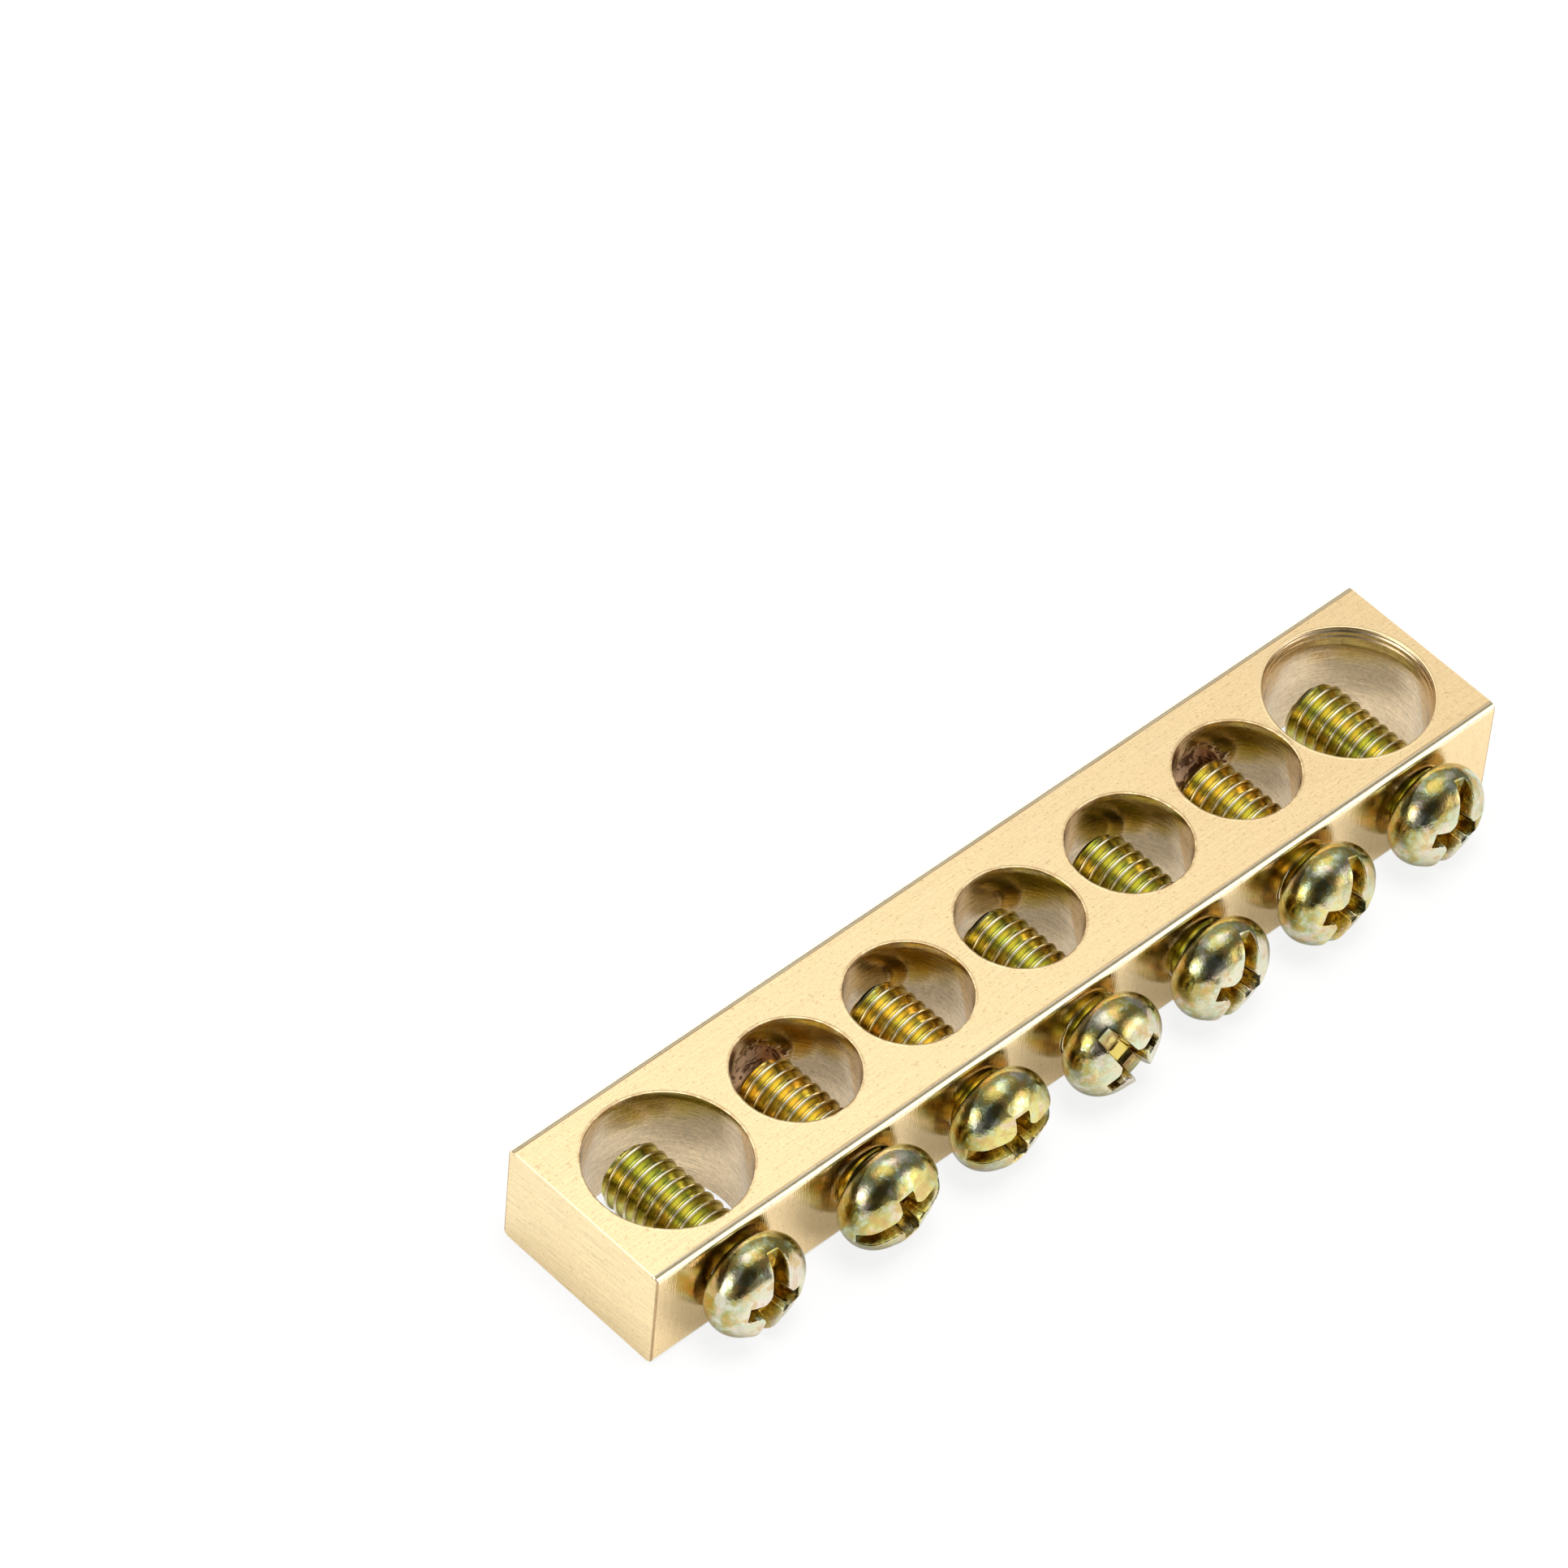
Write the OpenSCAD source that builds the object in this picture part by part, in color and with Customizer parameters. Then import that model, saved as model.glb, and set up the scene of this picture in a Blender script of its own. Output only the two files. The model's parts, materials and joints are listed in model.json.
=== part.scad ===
// Earth terminal bar: a solid brass bar with seven wire holes, each crossed by a clamp screw.
// X runs along the bar, Y across it with the screw heads on the -Y side, Z up through the wire holes.
// The origin is on the middle wire hole's axis, in the plane of the bar's underside.
// The end at -X is called the near end, the one at +X the far end.

/* [Bar] */
// Width of the bar, from the screw face to the back face
bar_w = 11.1; // [10:0.1:14]
// Thickness of the bar, which is also the depth of the wire holes
bar_h = 6.8; // [6:0.1:10]
// Radius of the four long edges of the drawn bar
edge_r = 0.4; // [0.1:0.05:0.8]
// Wall left between the near large hole and the near end
near_wall = 1.2; // [0.8:0.1:4]
// Wall left between the far large hole and the far end
far_wall = 1.1; // [0.8:0.1:4]

/* [Wire holes] */
// Diameter of the five small wire holes
small_d = 6.8; // [6:0.1:8]
// Diameter of the two large wire holes
large_d = 8.8; // [8:0.1:9.6]
// Metal left between two neighbouring small holes
small_web = 1.1; // [0.8:0.1:3]
// Metal left between the near large hole and the small hole beside it
near_web = 1.2; // [0.8:0.1:3]
// Metal left between the far large hole and the small hole beside it
far_web = 0.5; // [0.45:0.05:3]
// How far the near large hole was drilled off the bar's centre line, towards the screws
near_drift = 0.15; // [0:0.05:0.3]
// Depth of the wider mouth that the drill left at the far large hole
mouth_depth = 1; // [0.5:0.1:2]
// How much wider in radius that mouth is than its hole
mouth_step = 0.2; // [0.15:0.05:0.3]
// How far that mouth lies off its hole's axis, along X and along Y
mouth_shift = 0.1; // [0:0.02:0.12]

/* [Clamp screws] */
// Outer diameter of the screw thread
thread_d = 4; // [3.5:0.1:4.4]
// Pitch of the screw thread
thread_pitch = 0.7; // [0.6:0.05:0.8]
// Flat on the thread's crest, measured along the screw
crest_flat = 0.09; // [0.06:0.01:0.12]
// Depth of the thread groove
thread_depth = 0.43; // [0.3:0.01:0.48]
// Chamfer at the screw's tip
tip_chamfer = 0.45; // [0.2:0.05:0.7]
// Radial clearance between a thread and its cross hole
thread_gap = 0.05; // [0.03:0.01:0.08]
// Gap between the tip and the far wall of a small hole, with the head screwed home
tip_gap = 0.25; // [0.1:0.05:1]
// Depth of the pocket that the drill cut into the far wall of two of the holes
overrun_depth = 0.45; // [0.2:0.05:0.8]
// How much smaller in radius that pocket is than the thread
overrun_inset = 0.3; // [0.2:0.05:0.6]

/* [Screw heads] */
// Diameter of the head at its widest ring
head_d = 6; // [5.4:0.1:6.6]
// Height of the head above its flat underside
head_t = 2.8; // [2.6:0.1:3.2]
// Height of the widest ring above the underside
girth_h = 1; // [0.8:0.05:1.2]
// Radius of the rounded flank of the head
flank_r = 1.55; // [1.3:0.05:1.6]
// Height of the heads' lowest point above the plane that the bar lies on
head_lift = 0.3; // [0.1:0.05:0.8]

/* [Driver recess] */
// Width of the straight slot at the crown of the head
slot_top_w = 1.2; // [1:0.05:1.4]
// Width of the straight slot at its floor
slot_floor_w = 0.8; // [0.6:0.05:1]
// Depth of the straight slot below the crown
slot_depth = 1.2; // [0.8:0.05:1.4]
// Distance across the cross recess, from wing end to wing end, at the crown
wing_span = 3.8; // [3.2:0.1:4.2]
// Distance across the cross recess at the foot of its wings
wing_foot_span = 2.5; // [2:0.1:2.8]
// Width of each wing of the cross recess
wing_w = 0.88; // [0.7:0.02:1]
// Depth of the wings at their foot
wing_depth = 1.5; // [1.2:0.05:1.6]
// Depth of the pit in the middle of the cross recess
pit_depth = 1.9; // [1.7:0.05:2]
// Diameter of the rounded middle of the cross recess at the crown
eye_top_d = 1.9; // [1.6:0.05:2.2]
// Diameter of the rounded middle of the cross recess at the wings' foot
eye_foot_d = 1.1; // [0.9:0.05:1.4]

/* [Hidden] */
$fn = 96;

// Number of small holes, which stand in a row between the two large ones
small_count = 5;
hole_count = small_count + 2;
last_hole = hole_count - 1;
middle_hole = last_hole / 2;

// Holes whose far wall was touched by the drill
overrun_holes = [1, 5];

// As the screws were left: gap under each head, near screw first
stand_off = [0.35, 0.6, 0.55, 0.7, 0.65, 0.6, 0.45];
// Turn of each straight slot, from the bar's length towards its top
slot_turn = [80, 11, 2, 121, 72, 70, 74];
// Turn of each thread about its own axis
thread_turn = [16, 98, 209, 211, 121, 265, 209];

// Distance from the near large hole to the hole with this number
near_step = large_d / 2 + near_web + small_d / 2;
far_step = large_d / 2 + far_web + small_d / 2;
small_step = small_d + small_web;
function hole_run(i) = i == 0 ? 0
                     : i == last_hole ? near_step + (small_count - 1) * small_step + far_step
                     : near_step + (i - 1) * small_step;
function hole_x(i) = hole_run(i) - hole_run(middle_hole);
function hole_y(i) = i == 0 ? -near_drift : 0;
function is_large(i) = i == 0 || i == last_hole;

near_x = hole_x(0) - large_d / 2 - near_wall;
far_x = hole_x(last_hole) + large_d / 2 + far_wall;
bar_l = far_x - near_x;

screw_z = head_d / 2 + head_lift;
thread_r = thread_d / 2;
root_r = thread_r - thread_depth;
thread_len = bar_w / 2 + small_d / 2 - tip_gap;
bore_r = thread_r + thread_gap;

// Centre of the flank's arc, and the crown's arc that meets it without a crease
flank_x = head_d / 2 - flank_r;
crown_drop = head_t - girth_h;
crown_r = (pow(flank_x, 2) + pow(crown_drop, 2) - pow(flank_r, 2)) / (2 * (crown_drop - flank_r));
join_angle = atan2(flank_x, crown_r - crown_drop);
rim_angle = asin(girth_h / flank_r);

// Steps along the head's two arcs, and facets to one turn of the thread
flank_steps = 12;
crown_steps = 4;
facets = 16;

// Overlap that lets a cut run clear of a face, and how deep the shank is rooted in the head
over = 1;
shank_root = 0.4;

module bar_section() {
    flat_w = bar_w - 2 * edge_r;
    flat_h = bar_h - 2 * edge_r;
    translate([-flat_w / 2, 0])
        square([flat_w, bar_h]);
    translate([-bar_w / 2, edge_r])
        square([bar_w, flat_h]);
    for (y = [-flat_w / 2, flat_w / 2])
        for (z = [edge_r, bar_h - edge_r])
            translate([y, z])
                circle(r = edge_r);
}

module wire_holes() {
    for (i = [0:last_hole])
        translate([hole_x(i), hole_y(i), -over])
            cylinder(h = bar_h + 2 * over, d = is_large(i) ? large_d : small_d);
    translate([hole_x(last_hole) + mouth_shift, mouth_shift, bar_h - mouth_depth])
        cylinder(h = mouth_depth + over, r = large_d / 2 + mouth_step);
}

// Cross holes of the screws, from the screw face into each wire hole
module cross_holes() {
    for (i = [0:last_hole])
        translate([hole_x(i), 0, screw_z])
            rotate([90, 0, 0])
                cylinder(h = bar_w / 2 + over, r = bore_r);
    for (i = overrun_holes)
        translate([hole_x(i), 0, screw_z])
            rotate([-90, 0, 0])
                cylinder(h = small_d / 2 + overrun_depth, r = thread_r - overrun_inset);
}

module brass_bar() {
    color([0.91, 0.78, 0.53])
        difference() {
            translate([near_x, 0, 0])
                rotate([90, 0, 90])
                    linear_extrude(height = bar_l)
                        bar_section();
            wire_holes();
            cross_holes();
        }
}

// The screw modules work along +Z: the head's underside at zero, its crown below, the tip above.

// Outline points of the head, from the rim of its underside round the flank and over the crown
function flank_point(a) = [flank_x + flank_r * cos(a), -girth_h - flank_r * sin(a)];
function crown_point(a) = [crown_r * sin(a), -head_t + crown_r * (1 - cos(a))];
function head_outline() = concat(
    [[0, 0]],
    [for (k = [0:flank_steps]) flank_point(-rim_angle + k * (90 - join_angle + rim_angle) / flank_steps)],
    [for (k = [1:crown_steps]) crown_point(join_angle * (1 - k / crown_steps))]);

module slot_cut() {
    rise = over * (slot_top_w - slot_floor_w) / slot_depth;
    rotate([90, 0, 90])
        linear_extrude(height = head_d + over, center = true)
            polygon([[-slot_top_w / 2 - rise / 2, -over], [slot_top_w / 2 + rise / 2, -over],
                     [slot_floor_w / 2, slot_depth], [-slot_floor_w / 2, slot_depth]]);
}

module wing_cut() {
    rise = over * (wing_span - wing_foot_span) / wing_depth;
    rotate([90, 0, 0])
        linear_extrude(height = wing_w, center = true)
            polygon([[-(wing_span + rise) / 2, -over], [(wing_span + rise) / 2, -over],
                     [wing_foot_span / 2, wing_depth], [0, pit_depth], [-wing_foot_span / 2, wing_depth]]);
}

// Slot and cross of the driver recess, cut down from the crown
module driver_recess() {
    slope = (eye_top_d - eye_foot_d) / wing_depth;
    slot_cut();
    for (a = [0, 90])
        rotate(a)
            wing_cut();
    translate([0, 0, -over])
        cylinder(h = wing_depth + over, d1 = eye_top_d + over * slope, d2 = eye_foot_d);
    translate([0, 0, wing_depth - over / 10])
        cylinder(h = pit_depth - wing_depth + over / 10, d1 = eye_foot_d, d2 = 0);
}

module head(turn) {
    difference() {
        rotate_extrude()
            polygon(head_outline());
        translate([0, 0, -head_t])
            rotate(turn)
                driver_recess();
    }
}

// A right-hand V thread as one closed skin. Three lines run round it: the two edges of the crest's flat and
// the root. Each step of a line is one facet on, and the root is joined to the crest one turn later.
module thread_skin(turns) {
    steps = ceil(turns * facets);
    rise = [0, crest_flat, (crest_flat + thread_pitch) / 2];
    radius = [thread_r, thread_r, root_r];
    function on_line(j, s) = [radius[s] * cos(360 * j / facets), radius[s] * sin(360 * j / facets),
                              thread_pitch * j / facets + rise[s]];
    function at(j, s) = 3 * j + s;
    start = 3 * (steps + 1);
    finish = start + 1;
    lines = [for (j = [0:steps]) for (s = [0:2]) on_line(j, s)];
    ends = [[0, 0, thread_pitch / 2], [0, 0, thread_pitch * (steps / facets - 0.5) + rise[2]]];
    crest = [for (j = [0:steps - 1]) for (s = [0, 1])
             for (f = [[at(j, s), at(j, s + 1), at(j + 1, s + 1)], [at(j, s), at(j + 1, s + 1), at(j + 1, s)]]) f];
    flank = [for (j = [0:steps - facets - 1])
             for (f = [[at(j, 2), at(j + facets, 0), at(j + 1 + facets, 0)],
                       [at(j, 2), at(j + 1 + facets, 0), at(j + 1, 2)]]) f];
    near_cap = concat([for (j = [0:facets - 1]) [at(j, 0), at(j + 1, 0), start]],
                      [[at(0, 1), at(0, 0), start], [at(0, 2), at(0, 1), start], [at(facets, 0), at(0, 2), start]]);
    far_cap = concat([for (j = [steps - facets:steps - 1]) [at(j + 1, 2), at(j, 2), finish]],
                     [[at(steps, 0), at(steps, 1), finish], [at(steps, 1), at(steps, 2), finish],
                      [at(steps - facets, 2), at(steps, 0), finish]]);
    polyhedron(points = concat(lines, ends), faces = concat(crest, flank, near_cap, far_cap));
}

// Threaded shank, trimmed to length with a chamfered tip
module shank(turn) {
    spare = 1.5;
    turns = (thread_len + shank_root) / thread_pitch + 2 * spare;
    intersection() {
        translate([0, 0, -shank_root - spare * thread_pitch])
            rotate(turn)
                thread_skin(turns);
        rotate_extrude()
            polygon([[0, -shank_root], [thread_r + over, -shank_root],
                     [thread_r + over, thread_len - tip_chamfer - over],
                     [thread_r - tip_chamfer, thread_len], [0, thread_len]]);
    }
}

module clamp_screw(i) {
    color([0.78, 0.75, 0.5])
        translate([hole_x(i), -bar_w / 2 - stand_off[i], screw_z])
            rotate([-90, 0, 0]) {
                head(-slot_turn[i]);
                shank(thread_turn[i]);
            }
}

brass_bar();
clamp_screw(0);  // clamp_screw_1
clamp_screw(1);  // clamp_screw_2
clamp_screw(2);  // clamp_screw_3
clamp_screw(3);  // clamp_screw_4
clamp_screw(4);  // clamp_screw_5
clamp_screw(5);  // clamp_screw_6
clamp_screw(6);  // clamp_screw_7
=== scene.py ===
# %% [markdown]
# # Dressing an earth terminal bar
# The real object is a short length of drawn brass bar. Seven wire holes go straight through it, and each is
# crossed by a clamp screw of plated steel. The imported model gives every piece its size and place. This
# lesson gives the pieces their finish: drilled and sawn brass, rolled threads and pressed screw heads.

# %% Load the fixed frame
import json
import bmesh
import bpy
import numpy as np
from mathutils import Matrix, Vector


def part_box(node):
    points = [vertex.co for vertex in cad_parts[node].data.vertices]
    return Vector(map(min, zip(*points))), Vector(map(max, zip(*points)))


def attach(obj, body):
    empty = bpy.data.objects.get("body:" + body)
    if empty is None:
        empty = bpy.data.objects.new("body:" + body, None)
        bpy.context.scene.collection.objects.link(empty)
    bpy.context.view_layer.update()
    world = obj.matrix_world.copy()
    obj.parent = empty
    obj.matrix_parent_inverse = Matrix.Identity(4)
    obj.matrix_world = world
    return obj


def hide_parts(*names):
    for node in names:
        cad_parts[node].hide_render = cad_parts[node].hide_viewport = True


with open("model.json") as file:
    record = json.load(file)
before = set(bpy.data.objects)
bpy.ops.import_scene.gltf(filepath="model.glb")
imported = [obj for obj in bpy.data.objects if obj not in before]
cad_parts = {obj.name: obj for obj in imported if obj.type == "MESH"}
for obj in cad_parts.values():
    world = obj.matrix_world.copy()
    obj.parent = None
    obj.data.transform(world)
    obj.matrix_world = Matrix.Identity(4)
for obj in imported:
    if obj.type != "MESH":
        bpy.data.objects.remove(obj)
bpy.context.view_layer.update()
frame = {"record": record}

MM = 0.001
pi = np.pi

# %% [markdown]
# Sizes come from the frame where it holds them: the bar's box, the mounts of the wire holes, and the box of
# each screw. What the frame doesn't say, such as the rounding of an edge, is a named value. All modelling
# is done in millimetres, because that is how a machinist reads the part, and each mesh is scaled once at
# the end.

# %% Read the driving sizes
low, high = (np.array(corner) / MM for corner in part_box("brass_bar"))
bar_w = high[1] - low[1]
bar_h = high[2] - low[2]
bar_half = (high[0] - low[0]) / 2
bar_mid = (high[0] + low[0]) / 2
numbers = range(1, 8)
mounts = {m["name"]: m for m in frame["record"]["mounts"]}
holes = [mounts[f"wire_hole_{n}"] for n in numbers]
hole_at = np.array([m["pos_m"][:2] for m in holes]) / MM
hole_r = np.array([m["dims"]["r_mm"] for m in holes])
screw_names = [f"clamp_screw_{n}" for n in numbers]
screw_box = [tuple(np.array(corner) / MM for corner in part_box(name)) for name in screw_names]
screw_z = float(np.mean([(a[2] + b[2]) / 2 for a, b in screw_box]))
screw_tip = np.array([b[1] for a, b in screw_box])
print("bar", bar_w, bar_h, "holes at", hole_at[:, 0], "screws at height", round(screw_z, 3))

# %% [markdown]
# Every surface below is a grid: a table of points with rows and columns. Joining each point to its
# neighbours gives the faces, and one helper turns the table into a closed mesh. Points that fall on each
# other, at a seam or a pole, are welded, so the mesh ends up watertight. The pieces could also be modelled
# by hand, but a table that is worked out from sizes follows them when they change.

# %% Grid and mesh helpers
weld = 1e-6
smooth_up_to = 40


def grid_faces(rows, cols, start=0, wrap=False):
    """Quads between the points of a table: start is its first index, wrap joins last column to first."""
    across = np.arange(cols if wrap else cols - 1)
    r, c = np.meshgrid(np.arange(rows - 1), across, indexing="ij")
    n = (c + 1) % cols
    quads = np.stack([r * cols + c, r * cols + n, (r + 1) * cols + n, (r + 1) * cols + c], -1)
    return quads.reshape(-1, 4) + start


def build_mesh(name, points, faces):
    """A mesh object from points in mm and lists of faces: welded, facing outwards, shaded smooth."""
    mesh = bpy.data.meshes.new(name)
    mesh.from_pydata(np.asarray(points) * MM, [], [f for part in faces for f in np.asarray(part).tolist()])
    work = bmesh.new()
    work.from_mesh(mesh)
    bmesh.ops.remove_doubles(work, verts=work.verts, dist=weld)
    bmesh.ops.dissolve_degenerate(work, edges=work.edges, dist=weld / 10)
    bmesh.ops.recalc_face_normals(work, faces=work.faces)
    work.to_mesh(mesh)
    open_edges = sum(1 for e in work.edges if not e.is_manifold)
    work.free()
    mesh.shade_smooth()
    mesh.set_sharp_from_angle(angle=np.radians(smooth_up_to))
    piece = bpy.data.objects.new(name, mesh)
    bpy.context.scene.collection.objects.link(piece)
    print(f"{name}: {len(mesh.polygons)} faces, {open_edges} open edges")
    return piece


# %% [markdown]
# The bar is drawn brass stock, sawn to length and drilled. It could be a box with holes cut by a modifier,
# but then the rims would be knife edges. Here each hole has its own cell of the bar, and one profile is
# carried round the hole: in from the cell's border over the top face, over the small lip that the drill
# raised, down the wall, and out again over the underside. The far hole was opened at its mouth by a wider
# drill, so there the wall narrows with the depth, in waves that fade.

# %% Sizes of the bar
edge_r = 0.4
end_bevel = 0.05
lip_w, lip_h = 0.13, 0.004
rim_r = 0.035
mouth_depth, mouth_step, mouth_shift = 1.0, 0.2, 0.1
mouth_start, mouth_curve = 0.03, 1.3
mouth_rings, mouth_wave, ring_spread = 3.5, 0.05, 0.7
lip_steps = (-0.3, 0, 0.15, 0.3, 0.45, 0.6, 0.75, 0.9)
rim_rows, mouth_rows, wall_rows = 4, 30, 14
side_points, length_points = 56, 40
flat_half = bar_w / 2 - edge_r
print("the flat part of the top is", round(2 * flat_half, 2), "mm wide")


# %% Border and profile of a hole's cell
def cell_border(xa, xb):
    """The border of one hole's cell as a closed loop: up its far side, back along +Y, down, out along -Y."""
    y = np.linspace(-flat_half, flat_half, side_points + 1)[:-1]
    x = np.linspace(xb, xa, length_points + 1)[:-1]
    far_side, near_side = np.stack([np.full_like(y, xb), y], 1), np.stack([np.full_like(y, xa), -y], 1)
    plus_y = np.stack([x, np.full_like(x, flat_half)], 1)
    minus_y = np.stack([xa + xb - x, np.full_like(x, -flat_half)], 1)
    return np.concatenate([far_side, plus_y, near_side, minus_y])


def hole_profile(radius, mouth):
    """Rows of wall radius, height and share of the mouth's shift, from outside the top rim to the underside.

    The lip is a sine squared and each rim a quarter circle. In a mouth, the share of the wider radius falls
    as a power of what is left of the depth, less a sine wave that fades with it.
    """
    turn = np.linspace(0, pi / 2, rim_rows)
    wide = radius + mouth_step * mouth
    rows = [[wide + rim_r + lip_w * (1 - t), bar_h + lip_h * np.sin(pi * max(t, 0)) ** 2, mouth]
            for t in lip_steps]
    rows += [[wide + rim_r * (1 - np.sin(a)), bar_h - rim_r * (1 - np.cos(a)), mouth] for a in turn]
    if mouth:
        down = np.linspace(mouth_start, 1, mouth_rows)
        wave = mouth_wave * np.sin(2 * pi * mouth_rings * down ** ring_spread) * (1 - down)
        taper = (1 - down) ** mouth_curve - wave
        rows += [[radius + mouth_step * k, bar_h - rim_r - mouth_depth * d, k] for d, k in zip(down, taper)]
    top = rows[-1][1]
    rows += [[radius, z, 0] for z in np.linspace(top, rim_r, wall_rows)[1:]]
    rows += [[radius + rim_r * (1 - np.cos(a)), rim_r * (1 - np.sin(a)), 0] for a in turn[1:]]
    return np.array(rows)


print("rows of a hole's profile:", len(hole_profile(hole_r[0], 0.0)))

# %% Top, holes and underside
near, far = low[0] + end_bevel, high[0] - end_bevel
webs = [(hole_at[i, 0] + hole_r[i] + hole_at[i + 1, 0] - hole_r[i + 1]) / 2 for i in range(len(holes) - 1)]
cells = list(zip([near] + webs, webs + [far]))
flat_rows = np.array([0, 0.03, 0.5])[:, None, None]
mouth_hole = len(holes) - 1
points, faces, count = [], [], 0
for i, (xa, xb) in enumerate(cells):
    border = cell_border(xa, xb)
    away = border - hole_at[i]
    angle = np.arctan2(away[:, 1], away[:, 0])
    ray = np.stack([np.cos(angle), np.sin(angle)], 1)
    profile = hole_profile(hole_r[i], 1.0 if i == mouth_hole else 0.0)
    shift = profile[:, 2, None, None] * mouth_shift
    rings = hole_at[i] + shift + profile[:, 0, None, None] * ray
    rings = np.concatenate([rings, np.broadcast_to(profile[:, 1, None, None], rings.shape[:2] + (1,))], 2)
    rim_top, rim_base = rings[0, :, :2], rings[-1, :, :2]
    top = border + (rim_top - border) * flat_rows
    base = rim_base + (border - rim_base) * (1 - flat_rows[::-1])
    top = np.concatenate([top, np.full(top.shape[:2] + (1,), bar_h)], 2)
    base = np.concatenate([base, np.zeros(base.shape[:2] + (1,))], 2)
    table = np.concatenate([top, rings, base])
    points.append(table.reshape(-1, 3))
    faces.append(grid_faces(len(table), len(border), count, wrap=True))
    count += table.shape[0] * table.shape[1]
print("points round the holes:", count)

# %% [markdown]
# The long sides with their rounded edges are one strip each, and the ends are flat with a fine bevel. All of
# them follow the bar's rounded section. The section's points match the borders of the cells, so welding joins
# top, sides and ends without a gap.

# %% Sides and ends
corner_rows, side_rows = 7, 13


def section_loop(inset):
    """The bar's rounded section as a closed loop of (y, z), offset inwards by inset, and its counts."""
    y = np.linspace(-flat_half, flat_half, side_points + 1)
    a = np.linspace(0, pi / 2, corner_rows)[1:-1]
    z = np.linspace(bar_h - edge_r, edge_r, side_rows)
    arc = edge_r - inset
    corner_top = np.stack([flat_half + arc * np.sin(a), bar_h - edge_r + arc * np.cos(a)], 1)
    side = np.stack([np.full_like(z, bar_w / 2 - inset), z], 1)
    corner_base = np.stack([flat_half + arc * np.cos(a), edge_r - arc * np.sin(a)], 1)
    top = np.stack([y, np.full_like(y, bar_h - inset)], 1)
    back = np.concatenate([corner_top, side, corner_base])
    base = np.stack([y[::-1], np.full_like(y, inset)], 1)
    front = back[::-1] * [-1, 1]
    return np.concatenate([top, back, base, front]), len(y), len(back)


loop, flat_count, back_count = section_loop(0)
bevelled = section_loop(end_bevel)[0]
along = np.concatenate([np.linspace(xa, xb, length_points + 1)[:-1] for xa, xb in cells] + [[far]])
back_strip = loop[flat_count - 1:flat_count + back_count + 1]
front_strip = np.concatenate([loop[2 * flat_count + back_count - 1:], loop[:1]])
for strip in (back_strip, front_strip):
    size = (len(along), len(strip))
    table = np.stack([np.broadcast_to(part, size) for part in (along[:, None], strip[:, 0], strip[:, 1])], -1)
    points.append(table.reshape(-1, 3))
    faces.append(grid_faces(*size, count))
    count += len(along) * len(strip)
for x, end in ((near, low[0]), (far, high[0])):
    points += [np.column_stack([np.full(len(loop), x), loop]),
               np.column_stack([np.full(len(loop), end), bevelled])]
    faces.append(grid_faces(2, len(loop), count, wrap=True))
    faces.append([list(range(count + len(loop), count + 2 * len(loop)))])
    count += 2 * len(loop)
bar = build_mesh("bar", np.concatenate(points), faces)

# %% [markdown]
# The tapped holes of the screws meet the wire holes in saddle-shaped edges, which no single grid follows. So
# these cross holes are cut with a boolean, from round cutters that are themselves small grids. Behind two of
# the screws the tapping drill ran on into the far wall, and left a short pocket there.

# %% Cut the cross holes
thread_r = 2.0
thread_gap = 0.05
overrun_depth = 0.45
overrun_inset = 0.1
overrun_holes = (1, 5)
cutter_points, cutter_rings = 72, 4
cutter_spare = 1
smooth_drilled_up_to = 35


def round_cutter(x, y0, y1, radius):
    """Points and faces of a closed round bar along Y: a few rings, and a pole at each end."""
    a = np.arange(cutter_points) * 2 * pi / cutter_points
    y = np.array([y0, *np.linspace(y0, y1, cutter_rings), y1])
    r = np.array([0, *[radius] * cutter_rings, 0])
    size = (len(y), cutter_points)
    table = np.stack([x + r[:, None] * np.cos(a), np.broadcast_to(y[:, None], size),
                      screw_z + r[:, None] * np.sin(a)], -1)
    return table.reshape(-1, 3), grid_faces(*size, wrap=True)


points, faces, count = [], [], 0
for i in range(len(holes)):
    runs = [(-bar_w / 2 - cutter_spare, hole_at[i, 1], thread_r + thread_gap)]
    if i in overrun_holes:
        runs.append((hole_at[i, 1] + cutter_spare, hole_r[i] + overrun_depth, thread_r - overrun_inset))
    for y0, y1, radius in runs:
        p, f = round_cutter(hole_at[i, 0], y0, y1, radius)
        points.append(p)
        faces.append(f + count)
        count += len(p)
cutter = build_mesh("cutter", np.concatenate(points), faces)
cut = bar.modifiers.new("cross_holes", "BOOLEAN")
cut.operation = "DIFFERENCE"
cut.solver = "EXACT"
cut.object = cutter
graph = bpy.context.evaluated_depsgraph_get()
drilled = bpy.data.meshes.new_from_object(bar.evaluated_get(graph))
bar.modifiers.clear()
bar.data = drilled
bpy.data.objects.remove(cutter)
bar.data.shade_smooth()
bar.data.set_sharp_from_angle(angle=np.radians(smooth_drilled_up_to))
print("bar after drilling:", len(bar.data.polygons), "faces")

# %% [markdown]
# A pan head is pressed from wire, with the slot and the cross struck in the same blow. It could be cut from a
# dome by booleans, but the pressed edges are soft. So its surface is a height over the plane of the head: the
# crown, with a slight swell where the metal was pushed aside, lowered wherever the driver recess is deeper.

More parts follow.
